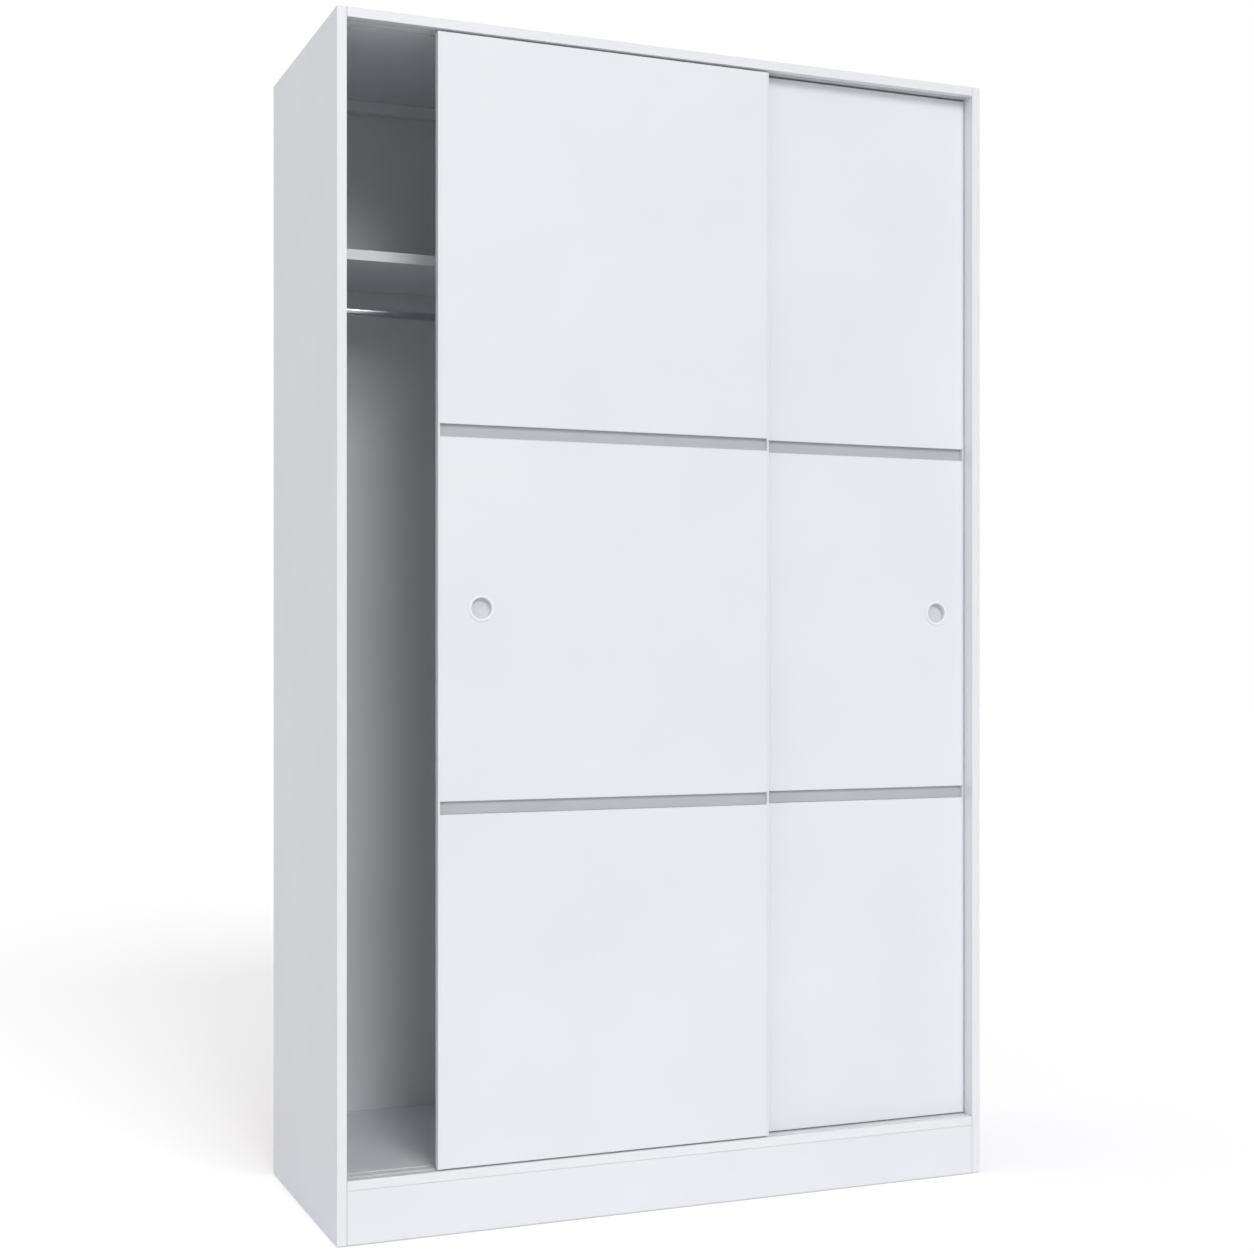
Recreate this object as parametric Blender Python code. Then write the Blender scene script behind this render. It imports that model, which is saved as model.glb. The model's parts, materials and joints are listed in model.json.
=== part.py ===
"""Two-door sliding wardrobe in white melamine-faced board, built from its separate pieces.

Metres, +Z up. The origin is on the floor under the middle of the cabinet, and the doors face -Y.
The front door runs in the front pair of tracks and the rear door in the pair behind it. Each door
rolls on two wheels in a bottom track and is kept upright by two guides in a top track.
"""
import math

import bmesh
import bpy
from mathutils import Vector

# Cabinet
WIDTH = 1.200
DEPTH = 0.500
HEIGHT = 2.000
BOARD = 0.016
CHAMFER = 0.0005
SEAM = 0.0003                  # between pieces that meet face to face
GLIDE_HEIGHT = 0.002
GLIDE_ROUNDING = 0.0006
GLIDE_MARGIN = 0.001           # from a glide's rim to the faces of its side panel
GLIDE_INSET = 0.040            # from the front and rear edges of a side panel
GLIDE_SPIGOT_RADIUS = 0.0015
GLIDE_SPIGOT_LENGTH = 0.012
PLINTH_TOP = 0.090             # underside of the bottom panel

# Back
BACK_BOARD = 0.003
BACK_INSET = 0.012             # from the cabinet's rear edges to the back's outer face
BACK_GROOVE = 0.006            # depth of the grooves that hold the back
BACK_LAP = 0.020               # how far the back runs below the bottom panel
JOINER_WIDTH = 0.024
JOINER_FLANGE = 0.0008
JOINER_WEB = 0.0012
TOP_BATTEN_HEIGHT = 0.022

# Shelf and hanging rail
SHELF_BOARD = 0.018
SHELF_SPACE = 0.333            # from the shelf's top to the ceiling
SHELF_DEPTH = 0.283
SHELF_END_GAP = 0.0005
PIN_INSET = 0.045              # from the shelf's front and rear edges
PIN_RADIUS = 0.0025
PIN_EMBEDDED = 0.010
PIN_HEAD_RADIUS = 0.0035
PIN_HEAD_LENGTH = 0.008
RAIL_DROP = 0.080              # from the shelf's underside to the rail's axis
RAIL_RADIUS = 0.0075
RAIL_WALL = 0.001
SOCKET_FLANGE_RADIUS = 0.019
SOCKET_FLANGE = 0.003
SOCKET_WALL = 0.002
SOCKET_LENGTH = 0.014

# Wall fixing bracket
BRACKET_X = 0.150
BRACKET_WIDTH = 0.040
BRACKET_THICKNESS = 0.002
BRACKET_TOP_LEG = 0.034
BRACKET_WALL_LEG = 0.020
BRACKET_HOLE_RADIUS = 0.0025
BRACKET_TOP_HOLES = 0.020      # from the fold to the two holes in the top leg
BRACKET_HOLE_PITCH = 0.020
BRACKET_WALL_HOLE = 0.012      # from the fold to the hole in the wall leg

# Tracks
TRACK_WIDTH = 0.012
TRACK_WALL = 0.002
TRACK_WEB = 0.0012
TRACK_PLAY = 0.0015            # from a track's walls to the wheel or guide that runs in it
BOTTOM_TRACK_DEPTH = 0.006
TOP_TRACK_DEPTH = 0.009

# Doors
DOOR_OVERLAP = 0.038           # of the two doors when they are closed
DOOR_SETBACK = 0.002           # the front door's face behind the cabinet's front edges
DOOR_CLEARANCE = 0.0037        # from the front door's fittings to the rear door's face
DOOR_GAP_BELOW = 0.0027
DOOR_GAP_ABOVE = 0.004
DOOR_END_GAP = 0.001
FRONT_DOOR_OPENING = 0.1525    # left of the front door as it stands
LOWER_PANEL = 0.583
MIDDLE_PANEL = 0.601
STRIP_FACE = 0.0215            # visible height of a joining strip
STRIP_RECESS = 0.008
TONGUE = 0.0022
TONGUE_HEIGHT = 0.008
EDGE_FACE = 0.003
SPINE = 0.0018
SPINE_LENGTH = 0.009

# Finger pulls
PULL_HEIGHT = 1.032
FRONT_PULL_INSET = 0.0745      # from the front door's left edge
REAR_PULL_INSET = 0.0590       # from the rear door's right edge
PULL_RADIUS = 0.0225
PULL_PROUD = 0.0015
CUP_RADIUS = 0.0175
CUP_WALL = 0.0015
CUP_DEPTH = 0.010
PULL_ROUNDING = 0.0008

# Rollers and guides
FITTING_INSET = 0.060          # from a door's edge to the middle of a roller or guide
FITTING_THICKNESS = 0.010
FITTING_POCKET = 0.004         # how far a fitting is let into the door's rear face
HOUSING_WIDTH = 0.044
HOUSING_HEIGHT = 0.032
WHEEL_RADIUS = 0.012
WHEEL_THICKNESS = 0.005        # at the hub; the rim's follows from its track
WHEEL_CROWN = 0.001
WHEEL_LIFT = 0.0003            # between the wheel and its track
WHEEL_SIDE_GAP = 0.0005
WHEEL_TOP_GAP = 0.0015
AXLE_RADIUS = 0.0015
AXLE_FIT = 0.0003
GUIDE_WIDTH = 0.030
GUIDE_HEIGHT = 0.040
GUIDE_TONGUE = 0.005           # its thickness at the root; the tip's follows from its track
GUIDE_TONGUE_LENGTH = 0.024
GUIDE_ENGAGEMENT = 0.005       # how far a guide reaches into its top track

CUT_PAST = 0.002               # how far a cutter runs past the face it enters
PULL_SIDES = 64
ROUND_SIDES = 32
SMALL_ROUND_SIDES = 20
SMOOTH_ANGLE = math.radians(35)

# Finish: base colour, roughness, metallic
FINISHES = {
    "melamine": ((0.83, 0.835, 0.86), 0.45, 0.0),
    "hardboard": ((0.78, 0.78, 0.80), 0.60, 0.0),
    "grey_plastic": ((0.60, 0.61, 0.63), 0.40, 0.0),
    "white_plastic": ((0.82, 0.82, 0.84), 0.35, 0.0),
    "nylon": ((0.75, 0.75, 0.73), 0.45, 0.0),
    "chrome": ((0.75, 0.75, 0.76), 0.12, 1.0),
    "zinc": ((0.62, 0.62, 0.60), 0.35, 1.0),
}

# Positions and sizes worked out from the ones above
FRONT = -DEPTH / 2
REAR = DEPTH / 2
INNER_X = WIDTH / 2 - BOARD
BOARD_X = INNER_X - SEAM
GLIDE_RADIUS = BOARD / 2 - GLIDE_MARGIN
BACK_REAR = REAR - BACK_INSET
BACK_FRONT = BACK_REAR - BACK_BOARD
BOARDS_REAR = BACK_FRONT - SEAM - JOINER_FLANGE - SEAM
BACK_BOTTOM = PLINTH_TOP - BACK_LAP
FLOOR_TOP = PLINTH_TOP + BOARD
CEILING = HEIGHT - BOARD
SHELF_UNDERSIDE = CEILING - SHELF_SPACE - SHELF_BOARD
SHELF_FRONT = BOARDS_REAR - SHELF_DEPTH
PIN_HEIGHT = SHELF_UNDERSIDE - SEAM - PIN_HEAD_RADIUS
RAIL_HEIGHT = SHELF_UNDERSIDE - RAIL_DROP
FITTING_FRONT = BOARD - FITTING_POCKET + SEAM
FITTING_REAR = FITTING_FRONT + FITTING_THICKNESS
FITTING_CENTRE = (FITTING_FRONT + FITTING_REAR) / 2
DOOR_PITCH = FITTING_REAR + DOOR_CLEARANCE
TRACK_CENTRE = DOOR_SETBACK + FITTING_CENTRE
RUNNER_THICKNESS = TRACK_WIDTH - 2 * TRACK_WALL - 2 * TRACK_PLAY
DOOR_WIDTH = INNER_X - DOOR_END_GAP + DOOR_OVERLAP / 2
SLOT_CENTRE = (STRIP_RECESS + BOARD) / 2
DOOR_BOTTOM = FLOOR_TOP + DOOR_GAP_BELOW
DOOR_HEIGHT = CEILING - DOOR_GAP_ABOVE - DOOR_BOTTOM
TRACK_RUN = FLOOR_TOP - BOTTOM_TRACK_DEPTH + TRACK_WEB
WHEEL_CENTRE = TRACK_RUN + WHEEL_LIFT + WHEEL_RADIUS


def clear_scene():
    for obj in list(bpy.data.objects):
        bpy.data.objects.remove(obj, do_unlink=True)


def give_finish(obj, finish):
    colour, roughness, metallic = FINISHES[finish]
    material = bpy.data.materials.new(obj.name)
    material.use_nodes = True
    shader = material.node_tree.nodes["Principled BSDF"]
    shader.inputs["Base Color"].default_value = (*colour, 1.0)
    shader.inputs["Roughness"].default_value = roughness
    shader.inputs["Metallic"].default_value = metallic
    obj.data.materials.append(material)


def add_object(name, shape, location, finish=None, parent=None):
    """Turn a bmesh into a named object. Without a finish it is a cutter."""
    bmesh.ops.recalc_face_normals(shape, faces=shape.faces)
    mesh = bpy.data.meshes.new(name)
    shape.to_mesh(mesh)
    shape.free()
    obj = bpy.data.objects.new(name, mesh)
    bpy.context.collection.objects.link(obj)
    obj.location = location
    obj.parent = parent
    if finish is None:
        obj.hide_render = True
        obj.display_type = "WIRE"
    else:
        give_finish(obj, finish)
    return obj


def box(name, low, high, finish=None, parent=None, chamfer=CHAMFER):
    """A block between two corners, its origin at its middle, chamfered unless it is a cutter."""
    low, high = Vector(low), Vector(high)
    shape = bmesh.new()
    bmesh.ops.create_cube(shape, size=1.0)
    bmesh.ops.scale(shape, vec=high - low, verts=shape.verts)
    if finish is not None and chamfer > 0:
        bmesh.ops.bevel(shape, geom=shape.edges[:], offset=chamfer, segments=1, affect="EDGES")
    return add_object(name, shape, (low + high) / 2, finish, parent)


def extruded(name, outline, length, along, location, finish=None, parent=None):
    """A flat outline carried along X or Z. Outlines are (y, z) for X and (x, y) for Z."""
    shape = bmesh.new()
    if along == "X":
        corners = [(0.0, y, z) for y, z in outline]
        travel = Vector((length, 0, 0))
    else:
        corners = [(x, y, 0.0) for x, y in outline]
        travel = Vector((0, 0, length))
    face = shape.faces.new([shape.verts.new(corner) for corner in corners])
    end = bmesh.ops.extrude_face_region(shape, geom=[face])["geom"]
    moved = [item for item in end if isinstance(item, bmesh.types.BMVert)]
    bmesh.ops.translate(shape, vec=travel, verts=moved)
    return add_object(name, shape, location, finish, parent)


def turned(name, profile, location, axis, finish=None, parent=None, sides=ROUND_SIDES):
    """A profile of (radius, height) turned about an axis through the location.

    A profile that starts and ends at radius 0 makes a solid, and any other closes on itself.
    """
    shape = bmesh.new()
    rings = []
    for radius, height in profile:
        if radius == 0:
            rings.append([shape.verts.new((0.0, 0.0, height))])
            continue
        ring = []
        for step in range(sides):
            angle = 2 * math.pi * step / sides
            ring.append(shape.verts.new((radius * math.cos(angle), radius * math.sin(angle), height)))
        rings.append(ring)
    pairs = list(zip(rings, rings[1:]))
    if profile[0][0] != 0:
        pairs.append((rings[-1], rings[0]))
    for first, second in pairs:
        for step in range(sides):
            following = (step + 1) % sides
            corners = [first[step % len(first)], first[following % len(first)],
                       second[following % len(second)], second[step % len(second)]]
            shape.faces.new(list(dict.fromkeys(corners)))
    bmesh.ops.rotate(shape, matrix=Vector((0, 0, 1)).rotation_difference(Vector(axis)).to_matrix(),
                     verts=shape.verts)
    obj = add_object(name, shape, location, finish, parent)
    obj.data.shade_smooth()
    obj.data.set_sharp_from_angle(angle=SMOOTH_ANGLE)
    return obj


def cut(target, cutter):
    """Take the cutter's shape out of the target."""
    modifier = target.modifiers.new(cutter.name, "BOOLEAN")
    modifier.operation = "DIFFERENCE"
    modifier.solver = "EXACT"
    modifier.object = cutter


def add_empty(name, location):
    empty = bpy.data.objects.new(name, None)
    bpy.context.collection.objects.link(empty)
    empty.location = location
    return empty


def track_lines():
    """The middle of each pair of tracks, as (door name, y)."""
    return [("front", FRONT + TRACK_CENTRE), ("rear", FRONT + DOOR_PITCH + TRACK_CENTRE)]


def pin_places():
    """Shelf pins as (name, side, y)."""
    rows = [("front", SHELF_FRONT + PIN_INSET), ("rear", BOARDS_REAR - PIN_INSET)]
    return [(f"shelf_pin_{side_name}_{row}", side, y)
            for side_name, side in (("left", -1), ("right", 1)) for row, y in rows]


def glide_places():
    """Floor glides as (name, side, y)."""
    rows = [("front", FRONT + GLIDE_INSET), ("rear", REAR - GLIDE_INSET)]
    return [(f"glide_{side_name}_{row}", side, y)
            for side_name, side in (("left", -1), ("right", 1)) for row, y in rows]


def make_side_panels():
    for side_name, side in (("left", -1), ("right", 1)):
        outer, inner = side * WIDTH / 2, side * INNER_X
        panel = box(f"{side_name}_side_panel",
                    (min(outer, inner), FRONT, GLIDE_HEIGHT), (max(outer, inner), REAR, HEIGHT),
                    "melamine")
        groove_x = (inner + side * BACK_GROOVE, inner - side * CUT_PAST)
        groove = box(f"{side_name}_back_groove",
                     (min(groove_x), BACK_FRONT - SEAM, GLIDE_HEIGHT - CUT_PAST),
                     (max(groove_x), BACK_REAR + SEAM, CEILING + BACK_GROOVE))
        cut(panel, groove)
        for name, pin_side, y in pin_places():
            if pin_side == side:
                cut(panel, pin_hole(name, side, y))
        for name, glide_side, y in glide_places():
            if glide_side == side:
                cut(panel, glide_hole(name, side, y))


def pin_hole(name, side, y):
    start = side * (INNER_X - CUT_PAST)
    radius = PIN_RADIUS + SEAM
    length = CUT_PAST + PIN_EMBEDDED + SEAM
    profile = [(0, 0), (radius, 0), (radius, length), (0, length)]
    return turned(f"{name}_hole", profile, (start, y, PIN_HEIGHT), (side, 0, 0),
                  sides=SMALL_ROUND_SIDES)


def glide_hole(name, side, y):
    radius = GLIDE_SPIGOT_RADIUS + SEAM
    length = CUT_PAST + GLIDE_SPIGOT_LENGTH + SEAM
    profile = [(0, 0), (radius, 0), (radius, length), (0, length)]
    return turned(f"{name}_hole", profile, (side * (WIDTH - BOARD) / 2, y, GLIDE_HEIGHT - CUT_PAST),
                  (0, 0, 1), sides=SMALL_ROUND_SIDES)


def make_glides():
    for name, side, y in glide_places():
        pad_top = GLIDE_HEIGHT - SEAM
        profile = [(0, 0), (GLIDE_RADIUS - GLIDE_ROUNDING, 0), (GLIDE_RADIUS, GLIDE_ROUNDING),
                   (GLIDE_RADIUS, pad_top), (GLIDE_SPIGOT_RADIUS, pad_top),
                   (GLIDE_SPIGOT_RADIUS, GLIDE_HEIGHT + GLIDE_SPIGOT_LENGTH),
                   (0, GLIDE_HEIGHT + GLIDE_SPIGOT_LENGTH)]
        turned(name, profile, (side * (WIDTH - BOARD) / 2, y, 0), (0, 0, 1), "nylon",
               sides=SMALL_ROUND_SIDES)


def make_top_panel():
    panel = box("top_panel", (-BOARD_X, FRONT, CEILING), (BOARD_X, REAR, HEIGHT), "melamine")
    past = BOARD_X + CUT_PAST
    cut(panel, box("top_back_groove", (-past, BACK_FRONT - SEAM, CEILING - CUT_PAST),
                   (past, BACK_REAR + SEAM, CEILING + BACK_GROOVE)))
    half = TRACK_WIDTH / 2 + SEAM
    for name, y in track_lines():
        cut(panel, box(f"top_{name}_track_groove", (-past, y - half, CEILING - CUT_PAST),
                       (past, y + half, CEILING + TOP_TRACK_DEPTH + SEAM)))


def make_bottom_panel():
    panel = box("bottom_panel", (-BOARD_X, FRONT, PLINTH_TOP), (BOARD_X, BOARDS_REAR, FLOOR_TOP),
                "melamine")
    past = BOARD_X + CUT_PAST
    half = TRACK_WIDTH / 2 + SEAM
    for name, y in track_lines():
        cut(panel, box(f"bottom_{name}_track_groove",
                       (-past, y - half, FLOOR_TOP - BOTTOM_TRACK_DEPTH - SEAM),
                       (past, y + half, FLOOR_TOP + CUT_PAST)))


def make_tracks():
    """U-shaped plastic channels let into the top and bottom panels, flush with their faces."""
    half = TRACK_WIDTH / 2
    inner = half - TRACK_WALL
    for name, y in track_lines():
        for place, face, depth, into in (("top", CEILING, TOP_TRACK_DEPTH, 1),
                                         ("bottom", FLOOR_TOP, BOTTOM_TRACK_DEPTH, -1)):
            web = into * (depth - TRACK_WEB)
            outline = [(-half, 0), (-half, into * depth), (half, into * depth), (half, 0),
                       (inner, 0), (inner, web), (-inner, web), (-inner, 0)]
            extruded(f"{place}_track_{name}", outline, 2 * BOARD_X, "X", (-BOARD_X, y, face),
                     "white_plastic")


def make_plinth():
    top = PLINTH_TOP - SEAM
    box("front_plinth", (-BOARD_X, FRONT, GLIDE_HEIGHT), (BOARD_X, FRONT + BOARD, top), "melamine")
    box("rear_plinth", (-BOARD_X, BOARDS_REAR - BOARD, GLIDE_HEIGHT), (BOARD_X, BOARDS_REAR, top),
        "melamine")
    box("plinth_crosspiece", (-BOARD / 2, FRONT + BOARD + SEAM, GLIDE_HEIGHT),
        (BOARD / 2, BOARDS_REAR - BOARD - SEAM, top), "melamine")


def make_back():
    """Two thin back boards in the cabinet's grooves, joined down the middle by an H-shaped strip."""
    inner_edge = JOINER_WEB / 2 + SEAM
    outer_edge = INNER_X + BACK_GROOVE - SEAM
    for name, low_x, high_x in (("left", -outer_edge, -inner_edge), ("right", inner_edge, outer_edge)):
        box(f"back_panel_{name}", (low_x, BACK_FRONT, BACK_BOTTOM),
            (high_x, BACK_REAR, CEILING + BACK_GROOVE - SEAM), "hardboard", chamfer=0)
    half, web = JOINER_WIDTH / 2, JOINER_WEB / 2
    mouth = BACK_BOARD / 2 + SEAM
    face = mouth + JOINER_FLANGE
    outline = [(-half, -face), (half, -face), (half, -mouth), (web, -mouth), (web, mouth),
               (half, mouth), (half, face), (-half, face), (-half, mouth), (-web, mouth),
               (-web, -mouth), (-half, -mouth)]
    extruded("back_joining_strip", outline, CEILING - SEAM - BACK_BOTTOM, "Z",
             (0, BACK_FRONT + BACK_BOARD / 2, BACK_BOTTOM), "white_plastic")
    box("rear_top_batten", (-BOARD_X, BOARDS_REAR - BOARD, CEILING - SEAM - TOP_BATTEN_HEIGHT),
        (BOARD_X, BOARDS_REAR, CEILING - SEAM), "melamine")


def make_bracket():
    """A folded steel angle that ties the batten to the top, holed for the wall screw."""
    rear = BOARDS_REAR - BOARD - SEAM
    top = CEILING - SEAM
    start = (BRACKET_X - BRACKET_WIDTH / 2, rear, top)
    thick = BRACKET_THICKNESS
    outline = [(0, 0), (-BRACKET_TOP_LEG, 0), (-BRACKET_TOP_LEG, -thick), (-thick, -thick),
               (-thick, -BRACKET_WALL_LEG), (0, -BRACKET_WALL_LEG)]
    bracket = extruded("wall_fixing_bracket", outline, BRACKET_WIDTH, "X", start, "zinc")
    length = thick + 2 * CUT_PAST
    profile = [(0, 0), (BRACKET_HOLE_RADIUS, 0), (BRACKET_HOLE_RADIUS, length), (0, length)]
    for side_name, side in (("left", -1), ("right", 1)):
        place = (BRACKET_X + side * BRACKET_HOLE_PITCH / 2, rear - BRACKET_TOP_HOLES,
                 top - thick - CUT_PAST)
        cut(bracket, turned(f"bracket_{side_name}_hole", profile, place, (0, 0, 1),
                            sides=SMALL_ROUND_SIDES))
    place = (BRACKET_X, rear + CUT_PAST, top - BRACKET_WALL_HOLE)
    cut(bracket, turned("bracket_wall_hole", profile, place, (0, -1, 0), sides=SMALL_ROUND_SIDES))


def make_shelf():
    end = INNER_X - SHELF_END_GAP
    box("shelf", (-end, SHELF_FRONT, SHELF_UNDERSIDE),
        (end, BOARDS_REAR, SHELF_UNDERSIDE + SHELF_BOARD), "melamine")
    for name, side, y in pin_places():
        profile = [(0, 0), (PIN_RADIUS, 0), (PIN_RADIUS, PIN_EMBEDDED + SEAM),
                   (PIN_HEAD_RADIUS, PIN_EMBEDDED + SEAM),
                   (PIN_HEAD_RADIUS, PIN_EMBEDDED + PIN_HEAD_LENGTH),
                   (0, PIN_EMBEDDED + PIN_HEAD_LENGTH)]
        turned(name, profile, (side * (INNER_X + PIN_EMBEDDED), y, PIN_HEIGHT), (-side, 0, 0),
               "zinc", sides=SMALL_ROUND_SIDES)


def make_hanging_rail():
    """A thin-walled tube across the cabinet, its ends in two turned sockets."""
    cup = RAIL_RADIUS + SEAM
    outer = cup + SOCKET_WALL
    for side_name, side in (("left", -1), ("right", 1)):
        profile = [(0, 0), (SOCKET_FLANGE_RADIUS, 0), (SOCKET_FLANGE_RADIUS, SOCKET_FLANGE),
                   (outer, SOCKET_FLANGE), (outer, SOCKET_LENGTH), (cup, SOCKET_LENGTH),
                   (cup, SOCKET_FLANGE), (0, SOCKET_FLANGE)]
        turned(f"rail_socket_{side_name}", profile, (side * (INNER_X - SEAM), 0, RAIL_HEIGHT),
               (-side, 0, 0), "chrome")
    half = INNER_X - 2 * SEAM - SOCKET_FLANGE
    bore = RAIL_RADIUS - RAIL_WALL
    tube = [(bore, -half), (RAIL_RADIUS, -half), (RAIL_RADIUS, half), (bore, half)]
    turned("hanging_rail", tube, (0, 0, RAIL_HEIGHT), (1, 0, 0), "chrome")


def make_door(name, left, face, pull_x):
    """One door. Its empty is at the bottom left corner of its face, and its pieces hang on it."""
    door = add_empty(f"{name}_door_frame", (left, face, DOOR_BOTTOM))
    panels = make_door_panels(name, door)
    strips = make_joining_strips(name, door)
    make_edge_profiles(name, door, panels + strips)
    make_pull(name, door, panels[1], pull_x)
    for side_name, x in (("left", FITTING_INSET), ("right", DOOR_WIDTH - FITTING_INSET)):
        make_roller(f"{name}_door_{side_name}", door, panels[0], x)
        make_guide(f"{name}_door_{side_name}", door, panels[2], x)


def panel_heights():
    """Bottom and top of the three panels of a door, counted from its lower edge."""
    middle = LOWER_PANEL + STRIP_FACE
    top = middle + MIDDLE_PANEL + STRIP_FACE
    return [("lower", 0, LOWER_PANEL), ("middle", middle, middle + MIDDLE_PANEL),
            ("upper", top, DOOR_HEIGHT)]


def make_door_panels(name, door):
    side = EDGE_FACE + SEAM
    low_y = SLOT_CENTRE - TONGUE / 2 - SEAM
    high_y = SLOT_CENTRE + TONGUE / 2 + SEAM
    reach = TONGUE_HEIGHT + SEAM
    panels = []
    for place, low, high in panel_heights():
        panel = box(f"{name}_door_{place}_panel", (side, 0, low), (DOOR_WIDTH - side, BOARD, high),
                    "melamine", door)
        if place != "lower":
            cut(panel, box(f"{name}_{place}_lower_slot", (side - CUT_PAST, low_y, low - CUT_PAST),
                           (DOOR_WIDTH - side + CUT_PAST, high_y, low + reach), parent=door))
        if place != "upper":
            cut(panel, box(f"{name}_{place}_upper_slot", (side - CUT_PAST, low_y, high - reach),
                           (DOOR_WIDTH - side + CUT_PAST, high_y, high + CUT_PAST), parent=door))
        panels.append(panel)
    return panels


def make_joining_strips(name, door):
    """Recessed strips between the panels, with a tongue above and below."""
    side = EDGE_FACE + SEAM
    low, high = SEAM, STRIP_FACE - SEAM
    near, far = SLOT_CENTRE - TONGUE / 2, SLOT_CENTRE + TONGUE / 2
    outline = [(STRIP_RECESS, low), (near, low), (near, -TONGUE_HEIGHT), (far, -TONGUE_HEIGHT),
               (far, low), (BOARD, low), (BOARD, high), (far, high),
               (far, STRIP_FACE + TONGUE_HEIGHT), (near, STRIP_FACE + TONGUE_HEIGHT),
               (near, high), (STRIP_RECESS, high)]
    heights = panel_heights()
    return [extruded(f"{name}_door_{place}_strip", outline, DOOR_WIDTH - 2 * side, "X",
                     (side, 0, heights[index][2]), "grey_plastic", door)
            for index, place in enumerate(("lower", "upper"))]


def make_edge_profiles(name, door, pieces):
    """T-shaped trims down both edges, their spines in slots that the panels and strips share."""
    near, far = SLOT_CENTRE - SPINE / 2, SLOT_CENTRE + SPINE / 2
    bevel = CHAMFER
    profile = [(0, bevel), (bevel, 0), (EDGE_FACE, 0), (EDGE_FACE, near),
               (EDGE_FACE + SPINE_LENGTH, near), (EDGE_FACE + SPINE_LENGTH, far), (EDGE_FACE, far),
               (EDGE_FACE, BOARD), (bevel, BOARD), (0, BOARD - bevel)]
    for side_name, x, flip in (("left", 0, 1), ("right", DOOR_WIDTH, -1)):
        outline = [(flip * px, py) for px, py in profile]
        extruded(f"{name}_door_{side_name}_edge", outline, DOOR_HEIGHT, "Z", (x, 0, 0),
                 "melamine", door)
        reach = x + flip * (EDGE_FACE + SPINE_LENGTH + SEAM)
        start = x - flip * CUT_PAST
        slot = box(f"{name}_{side_name}_spine_slot", (min(start, reach), near - SEAM, -CUT_PAST),
                   (max(start, reach), far + SEAM, DOOR_HEIGHT + CUT_PAST), parent=door)
        for piece in pieces:
            cut(piece, slot)


def make_pull(name, door, panel, x):
    """A round cup let into the middle panel, with a low rounded rim."""
    outer = CUP_RADIUS + CUP_WALL
    rounding = PULL_ROUNDING
    profile = [(0, -CUP_DEPTH - CUP_WALL), (outer, -CUP_DEPTH - CUP_WALL), (outer, SEAM),
               (PULL_RADIUS, SEAM), (PULL_RADIUS, PULL_PROUD - rounding),
               (PULL_RADIUS - rounding, PULL_PROUD), (CUP_RADIUS + rounding, PULL_PROUD),
               (CUP_RADIUS, PULL_PROUD - rounding), (CUP_RADIUS, -CUP_DEPTH + rounding),
               (CUP_RADIUS - rounding, -CUP_DEPTH), (0, -CUP_DEPTH)]
    place = (x, 0, PULL_HEIGHT - DOOR_BOTTOM)
    turned(f"{name}_door_finger_pull", profile, place, (0, -1, 0), "white_plastic", door,
           sides=PULL_SIDES)
    depth = CUP_DEPTH + CUP_WALL + SEAM
    bore = [(0, -depth), (outer + SEAM, -depth), (outer + SEAM, CUT_PAST), (0, CUT_PAST)]
    cut(panel, turned(f"{name}_pull_bore", bore, place, (0, -1, 0), parent=door,
                      sides=PULL_SIDES))


def cut_pocket(piece, name, x, half_width, low, high, door):
    """A shallow pocket in a door's rear face, for a roller housing or a guide."""
    cut(piece, box(f"{name}_pocket", (x - half_width - SEAM, BOARD - FITTING_POCKET, low),
                   (x + half_width + SEAM, BOARD + CUT_PAST, high), parent=door))


def make_roller(name, door, panel, x):
    """A housing on the door's rear face, with a wheel on a steel axle."""
    middle = FITTING_CENTRE
    centre = WHEEL_CENTRE - DOOR_BOTTOM
    half = HOUSING_WIDTH / 2
    cut_pocket(panel, f"{name}_housing", x, half, -CUT_PAST, HOUSING_HEIGHT + SEAM, door)
    housing = box(f"{name}_roller_housing", (x - half, FITTING_FRONT, 0),
                  (x + half, FITTING_REAR, HOUSING_HEIGHT), "nylon", door)
    room_x = WHEEL_RADIUS + WHEEL_TOP_GAP
    room_y = max(WHEEL_THICKNESS, RUNNER_THICKNESS) / 2 + WHEEL_SIDE_GAP
    cut(housing, box(f"{name}_wheel_room", (x - room_x, middle - room_y, -CUT_PAST),
                     (x + room_x, middle + room_y, centre + WHEEL_RADIUS + WHEEL_TOP_GAP),
                     parent=door))
    hole = AXLE_RADIUS + AXLE_FIT
    past = FITTING_THICKNESS / 2 + CUT_PAST
    cut(housing, turned(f"{name}_axle_hole", [(0, -past), (hole, -past), (hole, past), (0, past)],
                        (x, middle, centre), (0, 1, 0), parent=door, sides=SMALL_ROUND_SIDES))
    reach = FITTING_THICKNESS / 2 - SEAM
    turned(f"{name}_axle", [(0, -reach), (AXLE_RADIUS, -reach), (AXLE_RADIUS, reach), (0, reach)],
           (x, middle, centre), (0, 1, 0), "zinc", door, sides=SMALL_ROUND_SIDES)
    half_hub = WHEEL_THICKNESS / 2
    half_rim = RUNNER_THICKNESS / 2
    shoulder = WHEEL_RADIUS - WHEEL_CROWN
    profile = [(hole, -half_hub), (shoulder, -half_rim), (WHEEL_RADIUS, WHEEL_CROWN - half_rim),
               (WHEEL_RADIUS, half_rim - WHEEL_CROWN), (shoulder, half_rim), (hole, half_hub)]
    turned(f"{name}_wheel", profile, (x, middle, centre), (0, 1, 0), "nylon", door)


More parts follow.
